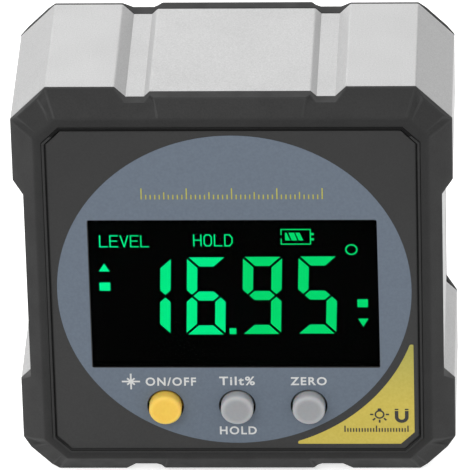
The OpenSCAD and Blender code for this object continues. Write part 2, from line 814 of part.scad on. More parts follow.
module battery_door() {
    y_under = y_back_wall - tongue_drop - tongue_t;
    color(charcoal) difference() {
        union() {
            along_y(y_back_wall, y_back_face) translate([0, mid_z]) round_rect(door_w, door_h, door_r);
            for (i = [-1, 1]) {
                slab(i * tongue_x, door_top - tongue_root / 2 - door_gap,
                     tongue_w, tongue_root - 2 * door_gap,
                     y_under, y_back_wall + fuse);
                slab(i * tongue_x, door_top + (tongue_out - tongue_root) / 2,
                     tongue_w, tongue_out + tongue_root,
                     y_under, y_under + tongue_t);
            }
            slab(0, mid_z - bay_h / 2 + finger_gap + finger_t / 2, finger_w, finger_t,
                 y_back_wall - finger_l, y_back_wall + fuse);
            slab(0, mid_z - bay_h / 2 + finger_gap, finger_w, 2 * finger_nose,
                 y_back_wall - finger_l, y_back_wall - finger_l + finger_nose_l);
        }
        for (k = [1 : grip_lines]) slab(0, door_bottom + 2 * grip_pitch + k * grip_pitch, grip_l, grip_w,
                                        y_back_face - grip_depth, y_back_face + through);
        translate([0, y_back_face + nail_r - nail_depth, mid_z - open_h / 2]) sphere(r = nail_r);
    }
}

// Screw along Y with its head at the back and a cross in the head
module screw(y_under, d, l, head_d, head_h) {
    difference() {
        union() {
            rod(0, 0, y_under - l, y_under + fuse, d);
            rod(0, 0, y_under, y_under + head_h, head_d);
        }
        for (w = [[cross_l, cross_w], [cross_w, cross_l]])
            slab(0, 0, w[0], w[1], y_under + head_h - cross_depth, y_under + head_h + through);
    }
}

module case_screws() {
    color(steel) at_pillars() screw(y_screw, case_screw_d, case_screw_l, screw_head_d, screw_head_h);
}
module board_screws() {
    color(steel) at_board_screws()
        screw(y_board_back, board_screw_d, board_screw_l, board_head_d, board_head_h);
}

frame();
front_cover();
rear_cover();
face_overlay();
display_window();
lcd_panel();
backlight_panel();
backlight_led();
zebra_strip();
main_board();
controller_chip();
tilt_sensor();
crystal();
board_passives();
power_switch();
tilt_switch();
zero_switch();
power_plunger();
tilt_plunger();
zero_plunger();
power_button();
tilt_button();
zero_button();
magnet_top();
magnet_bottom();
magnet_left();
magnet_right();
battery_door();
cell_upper();
cell_lower();
contact_bridge();
contact_positive();
contact_negative();
spring_upper();
spring_lower();
wire_positive();
wire_negative();
case_screws();
board_screws();
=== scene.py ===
import math

import bmesh
import bpy
from mathutils import Matrix, Vector


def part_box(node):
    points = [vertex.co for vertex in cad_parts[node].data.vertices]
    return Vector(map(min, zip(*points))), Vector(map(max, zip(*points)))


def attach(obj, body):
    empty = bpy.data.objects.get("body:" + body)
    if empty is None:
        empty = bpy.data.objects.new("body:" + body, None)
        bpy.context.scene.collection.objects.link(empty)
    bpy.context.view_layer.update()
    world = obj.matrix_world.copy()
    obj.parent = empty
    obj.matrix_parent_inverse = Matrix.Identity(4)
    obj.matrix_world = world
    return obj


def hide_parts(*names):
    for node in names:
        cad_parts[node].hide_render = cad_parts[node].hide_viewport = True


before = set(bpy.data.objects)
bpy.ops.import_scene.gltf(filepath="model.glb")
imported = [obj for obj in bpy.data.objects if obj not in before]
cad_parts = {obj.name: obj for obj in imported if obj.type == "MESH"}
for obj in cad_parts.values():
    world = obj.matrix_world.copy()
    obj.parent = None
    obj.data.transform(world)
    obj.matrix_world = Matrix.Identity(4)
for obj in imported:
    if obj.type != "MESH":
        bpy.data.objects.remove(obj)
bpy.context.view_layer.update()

# Sizes are in millimetres, in the frame of the solids
MM = 0.001
NEAR = 0.01


def span(node):
    """Lowest and highest corner of a solid."""
    low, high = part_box(node)
    return Vector(low) / MM, Vector(high) / MM


# Places taken from the solids
FRAME_LOW, FRAME_HIGH = span("frame")
HALF = FRAME_HIGH.x
MIDDLE_Z = (FRAME_LOW.z + FRAME_HIGH.z) / 2
FRAME_MID = (FRAME_LOW.y + FRAME_HIGH.y) / 2
FRAME_HALF_D = (FRAME_HIGH.y - FRAME_LOW.y) / 2
LIP_Y = span("front_cover")[0].y
FACE_Y = span("face_overlay")[0].y
DISPLAY_Y = span("lcd_panel")[0].y

# Sizes that the solids are drawn with
CORNER_CUT = 4.9
RIM_STRIP = 0.3
PAD_STRIP = 1.3
CENTRE_REACH = 1.8
CENTRE_DROP = 0.7
CENTRE_HALF = 10.9
BUTTON_X = (-9.9, 0.0, 9.9)
BUTTON_Z = 11.8

# How much further from the middle the corner cuts lie than the sides
CORNER_REACH = (2 * HALF - CORNER_CUT) * math.sqrt(0.5) - HALF

# Front and back levels of the prints: fields of colour, legends on them, and marks on the display
PRINT_T = 0.02
PRINT_SUNK = 0.05
FIELD_LEVELS = (FACE_Y - PRINT_T, FACE_Y + PRINT_SUNK)
LEGEND_LEVELS = (FACE_Y - 2 * PRINT_T, FACE_Y)
MARK_LEVELS = (DISPLAY_Y - PRINT_T, DISPLAY_Y + PRINT_T)

# Share of the light that the smoked window lets through
WINDOW_PASS = 0.3


def reach(p):
    """Half size of the octagon, like the case outline, on which a point lies."""
    across, up = abs(p.x), abs(p.z - MIDDLE_Z)
    return max(across, up, (across + up) * math.sqrt(0.5) - CORNER_REACH)


# Colour and material helpers

WHITE = (1.0, 1.0, 1.0, 1.0)
BLACK = (0.0, 0.0, 0.0, 1.0)
# The broad patches of gloss are this many grains across
GLOSS_PATCH = 14
# How deep light goes into a soft finish
SOFT_DEPTH = 0.8
# Range of reach over which a finish may be shaded
SHADE_FROM = 24
SHADE_TO = 30


def tone(code):
    """A linear colour from the six hex digits of the shade as it is seen."""
    shades = [int(code[i:i + 2], 16) / 255 for i in (0, 2, 4)]
    return tuple(s / 12.92 if s <= 0.04045 else ((s + 0.055) / 1.055) ** 2.4 for s in shades) + (1.0,)


def grey(share):
    """The same share of all three colours."""
    return (share, share, share, 1.0)


def new_finish(name):
    material = bpy.data.materials.new(name)
    material.use_nodes = True
    tree = material.node_tree
    place = tree.nodes.new("ShaderNodeTexCoord")
    return material, tree, tree.nodes["Principled BSDF"], place.outputs["Object"]


def mottle(tree, place, scale, detail=3.0, roughness=0.55):
    noise = tree.nodes.new("ShaderNodeTexNoise")
    noise.inputs["Scale"].default_value = scale
    noise.inputs["Detail"].default_value = detail
    noise.inputs["Roughness"].default_value = roughness
    tree.links.new(place, noise.inputs["Vector"])
    return noise.outputs["Fac"]


def ramp(tree, value, stops):
    node = tree.nodes.new("ShaderNodeValToRGB")
    band = node.color_ramp
    while len(band.elements) < len(stops):
        band.elements.new(0.5)
    for element, (at, shade) in zip(band.elements, stops):
        element.position = at
        element.color = shade
    tree.links.new(value, node.inputs["Fac"])
    return node.outputs["Color"]


def spread(tree, value, low, high, start=0.3, end=0.7):
    """Maps a value between start and end to one between low and high."""
    node = tree.nodes.new("ShaderNodeMapRange")
    node.inputs["From Min"].default_value = start
    node.inputs["From Max"].default_value = end
    node.inputs["To Min"].default_value = low
    node.inputs["To Max"].default_value = high
    tree.links.new(value, node.inputs["Value"])
    return node.outputs["Result"]


def maths(tree, operation, *values):
    node = tree.nodes.new("ShaderNodeMath")
    node.operation = operation
    for socket, value in zip(node.inputs, values):
        if isinstance(value, float):
            socket.default_value = value
        else:
            tree.links.new(value, socket)
    return node.outputs["Value"]


def times(tree, colour, share):
    node = tree.nodes.new("ShaderNodeVectorMath")
    node.operation = "MULTIPLY"
    tree.links.new(colour, node.inputs[0])
    tree.links.new(share, node.inputs[1])
    return node.outputs["Vector"]


def parts_of(tree, place):
    """The x, y and z of a place."""
    split = tree.nodes.new("ShaderNodeSeparateXYZ")
    tree.links.new(place, split.inputs["Vector"])
    return split.outputs


def shaded_by_reach(tree, place, colour, stops, sides):
    """Darkens a colour as painted shade by how far out on the case outline a point lies, with stops of reach
    and share.

    Sides, where given, keeps the change to the left and right, up to that far over and under the middle."""
    at = parts_of(tree, place)
    across = maths(tree, "ABSOLUTE", at["X"])
    up = maths(tree, "ABSOLUTE", maths(tree, "SUBTRACT", at["Z"], MIDDLE_Z * MM))
    both = maths(tree, "ADD", across, up)
    corner = maths(tree, "MULTIPLY_ADD", both, math.sqrt(0.5), -CORNER_REACH * MM)
    out = maths(tree, "MAXIMUM", maths(tree, "MAXIMUM", across, up), corner)
    level = spread(tree, out, 0.0, 1.0, SHADE_FROM * MM, SHADE_TO * MM)
    run = SHADE_TO - SHADE_FROM
    share = ramp(tree, level, [((far - SHADE_FROM) / run, grey(part)) for far, part in stops])
    if sides:
        beside = maths(tree, "COMPARE", at["Z"], MIDDLE_Z * MM, sides * MM)
        share = maths(tree, "MULTIPLY_ADD", beside, maths(tree, "SUBTRACT", share, 1.0), 1.0)
    return times(tree, colour, share)


def relief(tree, shader, height, strength, depth):
    bump = tree.nodes.new("ShaderNodeBump")
    bump.inputs["Strength"].default_value = strength
    bump.inputs["Distance"].default_value = depth * MM
    tree.links.new(height, bump.inputs["Height"])
    tree.links.new(bump.outputs["Normal"], shader.inputs["Normal"])


def grained(name, dark, light, grain, rough, metal=0.0, bump=0.15, depth=0.02, level=0.5,
            stops=None, sides=None, soft=0.0):
    """A finish with a fine grain of the given size in its colour and surface, and broad patches of gloss."""
    material, tree, shader, place = new_finish(name)
    fine = mottle(tree, place, 1 / (grain * MM))
    broad = mottle(tree, place, 1 / (GLOSS_PATCH * grain * MM), 2.0)
    colour = ramp(tree, fine, [(0.3, tone(dark)), (0.7, tone(light))])
    if stops:
        colour = shaded_by_reach(tree, place, colour, stops, sides)
    tree.links.new(colour, shader.inputs["Base Color"])
    shader.inputs["Subsurface Weight"].default_value = soft
    shader.inputs["Subsurface Scale"].default_value = SOFT_DEPTH * MM
    tree.links.new(spread(tree, broad, rough[0], rough[1]), shader.inputs["Roughness"])
    shader.inputs["Metallic"].default_value = metal
    shader.inputs["Specular IOR Level"].default_value = level
    relief(tree, shader, fine, bump, depth)
    return material


# Finishes

# Pits and broader clouds of the blasting, as a count in a metre
BLAST_PITS = 5200
BLAST_CLOUDS = 160
# The lit marks change their green from one side of the display to the other
GREEN_HALF = 19
GREEN_STOPS = ((0.0, "04f796"), (0.15, "02e17a"), (0.3, "02ea84"), (0.46, "03e984"), (0.52, "03d66a"),
               (1.0, "03d86c"))


def blasted_aluminium(name, dark, light):
    material, tree, shader, place = new_finish(name)
    fine = mottle(tree, place, BLAST_PITS, 4.0, 0.7)
    broad = mottle(tree, place, BLAST_CLOUDS, 3.0)
    colour = ramp(tree, fine, [(0.32, tone(dark)), (0.68, tone(light))])
    tree.links.new(colour, shader.inputs["Base Color"])
    tree.links.new(spread(tree, broad, 0.48, 0.54), shader.inputs["Roughness"])
    shader.inputs["Metallic"].default_value = 0.85
    relief(tree, shader, fine, 0.3, 0.03)
    return material


def soft_cap(name, dark, light, rim, soft):
    """Soft rubber with a painted highlight at its rim, which the mesh marks with an attribute."""
    material = grained(name, dark, light, 0.4, (0.45, 0.55), bump=0.04, level=0.4, soft=soft)
    tree = material.node_tree
    colour = tree.nodes["Principled BSDF"].inputs["Base Color"]
    body = colour.links[0].from_socket
    mark = tree.nodes.new("ShaderNodeAttribute")
    mark.attribute_name = "rim"
    blend = tree.nodes.new("ShaderNodeMix")
    blend.data_type = "RGBA"
    tree.links.new(mark.outputs["Fac"], blend.inputs["Factor"])
    tree.links.new(body, blend.inputs["A"])
    blend.inputs["B"].default_value = tone(rim)
    tree.links.new(blend.outputs["Result"], colour)
    return material


def duller_upwards(material, low, high, share):
    """Dulls a print from its full colour at a low height to a share of it at a high one."""
    tree = material.node_tree
    colour = tree.nodes["Principled BSDF"].inputs["Base Color"]
    body = colour.links[0].from_socket
    place = [n for n in tree.nodes if n.bl_idname == "ShaderNodeTexCoord"][0]
    height = parts_of(tree, place.outputs["Object"])["Z"]
    up = spread(tree, height, 0.0, 1.0, low * MM, high * MM)
    tree.links.new(times(tree, body, ramp(tree, up, [(0.0, WHITE), (1.0, share)])), colour)
    return material


def lit_green():
    material, tree, shader, place = new_finish("lit_green")
    along = spread(tree, parts_of(tree, place)["X"], 0.0, 1.0, -GREEN_HALF * MM, GREEN_HALF * MM)
    shade = ramp(tree, along, [(at, tone(code)) for at, code in GREEN_STOPS])
    tree.links.new(shade, shader.inputs["Emission Color"])
    shader.inputs["Emission Strength"].default_value = 1.0 / WINDOW_PASS
    shader.inputs["Base Color"].default_value = BLACK
    shader.inputs["Specular IOR Level"].default_value = 0.0
    tree.links.new(spread(tree, mottle(tree, place, 900), 0.5, 0.7), shader.inputs["Roughness"])
    return material


def smoked_window():
    material, tree, shader, place = new_finish("smoked_window")
    shader.inputs["Base Color"].default_value = grey(WINDOW_PASS)
    shader.inputs["Transmission Weight"].default_value = 1.0
    shader.inputs["IOR"].default_value = 1.05
    tree.links.new(spread(tree, mottle(tree, place, 400), 0.0, 0.004), shader.inputs["Roughness"])
    return material


# Painted shade by reach: the rim's shoulder band is painted darker, a painted shadow line lies inside its
# lip, and the film has painted shade along its edge beside the lip
BAND_SHADE = [(25.64, 1.0), (25.7, 0.66), (26.5, 0.7), (27.1, 1.0)]
LIP_SHADE = [(25.24, 0.15), (25.32, 1.0)]
FILM_EDGE_SHADE = [(24.9, 1.0), (24.97, 0.3)]

ALUMINIUM = blasted_aluminium("blasted_aluminium", "bababa", "d0d0d0")
# Paler aluminium for the groove slopes: painted light that lifts the shade the grooves put on them
SLOPE_ALUMINIUM_PAINTED_LIGHT = blasted_aluminium("slope_aluminium_painted_light", "c0c0c0", "d6d6d6")
# The mouldings carry the painted shade inside the lip and on the shoulder band
CHARCOAL = grained("charcoal_moulding", "252525", "2d2d2d", 0.22, (0.5, 0.62), bump=0.25, depth=0.03,
                   level=0.26, stops=LIP_SHADE + BAND_SHADE)
CHARCOAL_BACK = grained("charcoal_back", "252525", "2d2d2d", 0.22, (0.5, 0.62), bump=0.25, depth=0.03,
                        level=0.26, stops=BAND_SHADE)
# Pale rounded edges: rubbed wear together with a painted highlight where they catch light
WORN_AND_HIGHLIT_EDGE = grained("worn_and_highlit_edge", "2a2a2a", "313131", 0.22, (0.46, 0.56), bump=0.2, level=0.28)
# Painted shade: a near black for the top lip, where the gap above the film lies in shadow
SHADED_LIP = grained("shaded_lip", "121212", "181818", 0.22, (0.7, 0.8), bump=0.1, level=0.06)
# The film carries painted shade along its left and right edge
FILM = duller_upwards(
    grained("face_film", "2f2f2f", "343434", 0.3, (0.42, 0.5), bump=0.08, level=0.27,
            stops=FILM_EDGE_SHADE, sides=24.5),
    low=7, high=50, share=grey(0.73))
SLATE = grained("slate_print", "5f6976", "65707d", 0.35, (0.45, 0.55), bump=0.06, level=0.27)
CORNER_YELLOW = duller_upwards(
    grained("corner_yellow_print", "c2af4c", "cab856", 0.35, (0.45, 0.55), bump=0.06, level=0.3),
    low=12, high=21, share=(0.68, 0.78, 0.95, 1.0))
PALE_PRINT = grained("pale_print", "cacbcb", "d6d6d5", 0.3, (0.5, 0.6), bump=0.05, level=0.3)
OLIVE_PRINT = grained("olive_print", "aaa644", "b8b450", 0.3, (0.5, 0.6), bump=0.05, level=0.3)
DARK_PRINT = grained("dark_print", "2c2c2c", "383838", 0.3, (0.5, 0.6), bump=0.05, level=0.3)
# The last colour of each cap is its painted rim highlight
YELLOW_CAP = soft_cap("yellow_cap", "eec34d", "f2c851", "f6d060", 0.45)
GREY_CAP = soft_cap("grey_cap", "96989b", "9a9c9f", "b4b6b9", 0.3)
GREEN = lit_green()
SMOKED = smoked_window()


# Mesh helpers

# A copied solid has its points merged within this distance
WELD_GAP = 0.002
# Faces that turn less than this, in degrees, are made one, and edges that turn more than the next are rounded
FLAT_TURN = 0.6
EDGE_TURN = 8
# Roundings further out than this are paler, partly rubbed wear and partly a painted highlight
PALE_EDGE_REACH = 27.1
# Points of a letter's outline that are closer than this, in its own units, are one
LETTER_WELD = 1e-5


def set_down(bm, name, body, slot, *materials, sharp=34.0):
    """Makes a finished bmesh a piece that rides on a body. Edges that turn more than sharp stay crisp."""
    mesh = bpy.data.meshes.new(name)
    bm.to_mesh(mesh)
    bm.free()
    for material in materials:
        mesh.materials.append(material)
    for face in mesh.polygons:
        face.use_smooth = True
    mesh.set_sharp_from_angle(angle=math.radians(sharp))
    piece = bpy.data.objects.new(name, mesh)
    bpy.context.scene.collection.objects.link(piece)
    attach(piece, body)
    return piece


def softened(node, name, body, slot, materials, width, outside, least=0.0, trim=None, sharp=40.0):
    """A copy of a solid with its outer edges rounded over, as it comes out of the mould or the blasting.

    Both ends of a rounded edge meet the test outside, and the edge is longer than least. Trim, where given,
    changes the copy first. The outermost roundings take the last material."""
    bm = bmesh.new()
    bm.from_mesh(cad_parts[node].data)
    bmesh.ops.remove_doubles(bm, verts=bm.verts, dist=WELD_GAP * MM)
    bmesh.ops.dissolve_limit(bm, angle_limit=math.radians(FLAT_TURN), verts=bm.verts, edges=bm.edges)
    if trim:
        trim(bm)
    edges = [e for e in bm.edges if e.is_convex and e.calc_face_angle() > math.radians(EDGE_TURN)
             and e.calc_length() > least * MM and all(outside(v.co / MM) for v in e.verts)]
    rounded = bmesh.ops.bevel(bm, geom=edges, offset=width * MM, offset_type="OFFSET", segments=2,
                              profile=0.5, affect="EDGES", clamp_overlap=True, material=-1)
    for face in rounded["faces"]:
        if reach(face.calc_center_median() / MM) > PALE_EDGE_REACH:
            face.material_index = len(materials) - 1
    piece = set_down(bm, name, body, slot, *materials, sharp=sharp)
    even = piece.modifiers.new("even_shading", "WEIGHTED_NORMAL")
    even.keep_sharp = True
    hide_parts(node)
    return piece


def sheet_from(bm, faces, front, back):
    """Gives flat faces that lie at the front level their thickness towards the back."""
    grown = bmesh.ops.extrude_face_region(bm, geom=faces)
    moved = [g for g in grown["geom"] if isinstance(g, bmesh.types.BMVert)]
    bmesh.ops.translate(bm, verts=moved, vec=Vector((0, back - front, 0)) * MM)


def corners_at(bm, outline, level):
    """Points of an outline, given as x and z, at one level."""
    return [bm.verts.new(Vector((x, level, z)) * MM) for x, z in outline]


def plate(bm, outline, front, back):
    """A flat plate with a few corners, given as x and z."""
    sheet_from(bm, [bm.faces.new(corners_at(bm, outline, front))], front, back)


def block(bm, left, right, low, high, front, back):
    """A flat oblong."""
    plate(bm, [(left, low), (right, low), (right, high), (left, high)], front, back)


def bar(bm, start, end, width, front, back):
    """A straight stroke from start to end."""
    run = Vector((end[0] - start[0], end[1] - start[1]))
    side = Vector((-run.y, run.x)).normalized() * width / 2
    a, b = Vector(start), Vector(end)
    plate(bm, [a - side, b - side, b + side, a + side], front, back)


def heading(degrees):
    """One step in a direction on the face."""
    return Vector((math.cos(math.radians(degrees)), math.sin(math.radians(degrees))))


def circle_loop(bm, x, z, y, radius, steps):
    turn = Matrix.Translation(Vector((x, y, z)) * MM) @ Matrix.Rotation(math.radians(90), 4, "X")
    made = bmesh.ops.create_circle(bm, cap_ends=False, radius=radius * MM, segments=steps, matrix=turn)
    return list({e for v in made["verts"] for e in v.link_edges})


def ring(bm, x, z, inner, outer, front, back, steps=48):
    loops = circle_loop(bm, x, z, front, outer, steps) + circle_loop(bm, x, z, front, inner, steps)
    joined = bmesh.ops.bridge_loops(bm, edges=loops)
    sheet_from(bm, joined["faces"], front, back)


def face_outwards(bm):
    bmesh.ops.recalc_face_normals(bm, faces=bm.faces)


def lettering(bm, words, left, right, low, high, front, back, weight=0.022, spacing=1.2):
    """Generic legends, drawn into the box that they fill on the face."""
    curve = bpy.data.curves.new("legend", "FONT")
    curve.body = words
    curve.offset = weight
    curve.space_character = spacing
    curve.resolution_u = 5
    carrier = bpy.data.objects.new("legend", curve)
    bpy.context.scene.collection.objects.link(carrier)
    bpy.context.view_layer.update()
    mesh = bpy.data.meshes.new_from_object(carrier)
    bpy.data.objects.remove(carrier)
    bpy.data.curves.remove(curve)
    word = bmesh.new()
    word.from_mesh(mesh)
    bpy.data.meshes.remove(mesh)
    bmesh.ops.remove_doubles(word, verts=word.verts, dist=LETTER_WELD)
    xs = [v.co.x for v in word.verts]
    ys = [v.co.y for v in word.verts]
    wide = (right - left) / (max(xs) - min(xs))
    tall = (high - low) / (max(ys) - min(ys))
    bmesh.ops.translate(word, verts=word.verts, vec=(-min(xs), -min(ys), 0))
    bmesh.ops.scale(word, verts=word.verts, vec=(wide * MM, tall * MM, 1))
    stand = Matrix.Translation(Vector((left, front, low)) * MM) @ Matrix.Rotation(math.radians(90), 4, "X")
    bmesh.ops.transform(word, matrix=stand, verts=word.verts)
    sheet_from(word, word.faces[:], front, back)
    done = bpy.data.meshes.new("legend")
    word.to_mesh(done)
    word.free()
    bm.from_mesh(done)
    bpy.data.meshes.remove(done)


# Case

# Where the outer edges of the frame, the covers and the door begin, and how wide each is rounded
METAL_OUT = 26.4
RIM_REACH = 26.2
RIM_PAST_FRAME = 0.2
DOOR_OUT_Y = 15.0
METAL_ROUND = 0.22
RIM_ROUND = 0.2
DOOR_ROUND = 0.1
LEAST_EDGE = 0.3

# How far the pads spread, the rear pads drop, the foot comes forward and the lands lean in
PAD_SPREAD = 0.25
REAR_PAD_DROP = 0.5
FOOT_FORWARD = 0.4
LAND_LEAN = 0.5

# The lip gets a painted shade above this height
LIP_SHADE_Z = 54.3
# Faces of the grooves lie this near the middle of a side, and slope at least this much both ways
GROOVE_WITHIN = 20
GROOVE_SLOPE = 0.5


def outer_metal(p):
    return max(abs(p.x), abs(p.z - MIDDLE_Z)) > METAL_OUT


def front_rim(p):
    return p.y < FRAME_LOW.y - RIM_PAST_FRAME and reach(p) > RIM_REACH


def back_rim(p):
    return p.y > FRAME_HIGH.y + RIM_PAST_FRAME and reach(p) > RIM_REACH


def door_outside(p):
    return p.y > DOOR_OUT_Y


def trim_rim(bm):
    """Runs the corner pads out to the ends of their corners, leans in the ends of the centre lands and
    carries the strip under the front foot a little forward."""
    def depth(v):
        return abs(v.co.y / MM - FRAME_MID)

    def on_outline(v):
        return abs(reach(v.co / MM) - HALF) < NEAR

    def out(v):
        return max(abs(v.co.x / MM), abs(v.co.z / MM - MIDDLE_Z))

    def land_corner(v):
        return (abs(depth(v) - FRAME_HALF_D - CENTRE_REACH) < NEAR
                and abs(abs(v.co.z / MM - MIDDLE_Z) - HALF + CENTRE_DROP) < NEAR)

    strip = [v for v in bm.verts if abs(depth(v) - FRAME_HALF_D - RIM_STRIP) < NEAR and on_outline(v)]
    ends = [v for v in strip if out(v) > HALF - NEAR]
    feet = [v for v in strip if v not in ends]
    bmesh.ops.weld_verts(bm, targetmap={v: min(ends, key=lambda e: (e.co - v.co).length) for v in feet})
    corner_mid = HALF - CORNER_CUT / 2
    for v in bm.verts:
        if abs(depth(v) - FRAME_HALF_D - PAD_STRIP) < NEAR and on_outline(v):
            middle = Vector((math.copysign(corner_mid, v.co.x), v.co.y / MM,
                             MIDDLE_Z + math.copysign(corner_mid, v.co.z - MIDDLE_Z * MM))) * MM
            bmesh.ops.translate(bm, verts=[v], vec=(v.co - middle).normalized() * PAD_SPREAD * MM)
            if v.co.y > 0:
                bmesh.ops.translate(bm, verts=[v], vec=(0, -REAR_PAD_DROP * MM, 0))
    foot = [v for v in strip if v.is_valid and v.co.z < NEAR * MM and v.co.y < 0]
    bmesh.ops.translate(bm, verts=foot, vec=(0, -FOOT_FORWARD * MM, 0))
    for side in (-1, 1):
        tips = [v for v in bm.verts if land_corner(v) and abs(v.co.x / MM - side * CENTRE_HALF) < NEAR]
        bmesh.ops.translate(bm, verts=tips, vec=(-side * LAND_LEAN * MM, 0, 0))


def shade_lip(piece, index):
    """Gives the lip along the top of the face and its two corners the material at that index: a painted
    shade.
    """
    bm = bmesh.new()
    bm.from_mesh(piece.data)
    front = [f for f in bm.faces if abs(f.calc_center_median().y / MM - LIP_Y) < NEAR]
    geom = front + list({e for f in front for e in f.edges}) + list({v for f in front for v in f.verts})
    bmesh.ops.bisect_plane(bm, geom=geom, plane_co=(0, 0, LIP_SHADE_Z * MM), plane_no=(0, 0, 1))
    for face in bm.faces:
        spot = face.calc_center_median() / MM
        if abs(spot.y - LIP_Y) < NEAR and spot.z > LIP_SHADE_Z:
            face.material_index = index
    bm.to_mesh(piece.data)
    bm.free()


def paint_light_on_slopes(piece, index):
    """Gives the slopes of the grooves across the frame the material at that index, paler as painted light."""
    for face in piece.data.polygons:
        across, up = abs(face.center.x) / MM, abs(face.center.z / MM - MIDDLE_Z)
        if min(across, up) < GROOVE_WITHIN and min(abs(face.normal.x), abs(face.normal.z)) > GROOVE_SLOPE:
            face.material_index = index


def case_pieces():
    metal = softened("frame", "frame_ring", "case", "frame_aluminium", [ALUMINIUM],
                     METAL_ROUND, outer_metal, sharp=22.0)
    # The groove slopes take the paler aluminium, as painted light
    metal.data.materials.append(SLOPE_ALUMINIUM_PAINTED_LIGHT)
    paint_light_on_slopes(metal, 1)
    front = softened("front_cover", "front_moulding", "case", "case_plastic", [CHARCOAL, WORN_AND_HIGHLIT_EDGE],
                     RIM_ROUND, front_rim, LEAST_EDGE, trim_rim)
    # The top lip takes the painted shade
    front.data.materials.append(SHADED_LIP)
    shade_lip(front, 2)
    softened("rear_cover", "rear_moulding", "case", "case_plastic", [CHARCOAL_BACK, WORN_AND_HIGHLIT_EDGE],
             RIM_ROUND, back_rim, LEAST_EDGE, trim_rim)
    softened("battery_door", "door_moulding", "battery_door", "case_plastic", [CHARCOAL_BACK, WORN_AND_HIGHLIT_EDGE],
             DOOR_ROUND, door_outside, LEAST_EDGE)


# Face prints

DISC_Z = 30.1
DISC_R = 24.25
BUTTON_HOLE_R = 2.55
# Corners of the window's opening in the print, as x and z
WINDOW = ((-19.86, 17.93), (19.83, 17.86), (19.63, 41.25), (-19.86, 41.25))
WINDOW_ROUND = 0.3

# The yellow corner: its arc round the disc, its right and lower edge, its two tips and its cut corner
PATCH_R = 25.39
PATCH_RIGHT = 24.4
PATCH_LOW = 5.68
PATCH_TIP_X = 8.3
PATCH_TIP_Z = 21.55
PATCH_CUT_X = 22.5
PATCH_CUT_Z = 7.54
PATCH_ROUND = 0.15

# Legends and the box that each fills: left, right, low and high
LEGENDS = (("ON/OFF", -12.55, -5.6, 15.03, 16.36),
           ("Tilt%", -2.4, 2.5, 15.1, 16.5),
           ("ZERO", 7.4, 12.4, 15.1, 16.4),
           ("HOLD", -2.5, 2.6, 7.2, 8.5))

# The sun sign: its middle, the direction and half length of each ray, and their width
SUN_MIDDLE = (-14.58, 15.72)
SUN_RAYS = ((0, 1.25), (90, 1.25), (45, 0.72), (135, 0.72))
SUN_STROKE = 0.23
# Each ray lies a hair in front of the one before, by this much a degree, so that no two faces coincide
SUN_HAIR = 2e-5

# The row of graduations above the window: half its length, its steps, its foot and the tops of its ticks
SCALE_HALF = 12.3
SCALE_STEPS = 40
SCALE_LOW = 44.5
SCALE_TOPS = {10: 46.2, 5: 45.6, 1: 45.2}
SCALE_STROKE = 0.16

# The bulb sign: middle, inner and outer radius, base, and rays with their start and end.
# The base lies a hair in front of the ring
BULB_AT = (19.6, 10.4)
BULB_RING = (0.47, 0.69)
BULB_BASE = ((-0.3, 0.6), (0.3, 0.6), (0.22, 0.96), (-0.22, 0.96))
BULB_BASE_HAIR = 0.003
BULB_WAYS = (180, 225, 270, 315, 0)
BULB_RAY = (0.85, 1.32)
BULB_STROKE = 0.24

# The magnet sign: middle and radius of its bend, half width of its limbs, and heights of limbs and tips
MAGNET_AT = (22.65, 10.0)
MAGNET_BEND = 0.7
MAGNET_HALF = 0.25
MAGNET_LIMB = 0.95
MAGNET_TIP = (1.1, 1.3)

# The short row of ticks in the corner
CORNER_TICKS = 23
CORNER_TICK_FROM = 14.8
CORNER_TICK_STEP = 0.395
CORNER_TICK_LOW = 7.6
CORNER_TICK_TOP = 8.2
CORNER_TICK_LONG = 8.6
CORNER_TICK_EVERY = 11
CORNER_STROKE = 0.18


def disc_print():
    front, back = FIELD_LEVELS
    bm = bmesh.new()
    edges = circle_loop(bm, 0, DISC_Z, front, DISC_R, 160)
    for x in BUTTON_X:
        edges += circle_loop(bm, x, BUTTON_Z, front, BUTTON_HOLE_R, 56)
    pane = bm.faces.new(corners_at(bm, WINDOW, front))
    bmesh.ops.bevel(bm, geom=pane.verts[:], offset=WINDOW_ROUND * MM, offset_type="OFFSET", segments=4,
                    profile=0.5, affect="VERTICES", clamp_overlap=False, material=-1)
    pane = bm.faces[:][0]
    edges += pane.edges[:]
    bmesh.ops.delete(bm, geom=[pane], context="FACES_ONLY")
    filled = bmesh.ops.triangle_fill(bm, use_beauty=True, use_dissolve=False, edges=edges, normal=(0, -1, 0))
    faces = [g for g in filled["geom"] if isinstance(g, bmesh.types.BMFace)]
    sheet_from(bm, faces, front, back)
    face_outwards(bm)
    set_down(bm, "disc_print", "case", "face_print", SLATE)


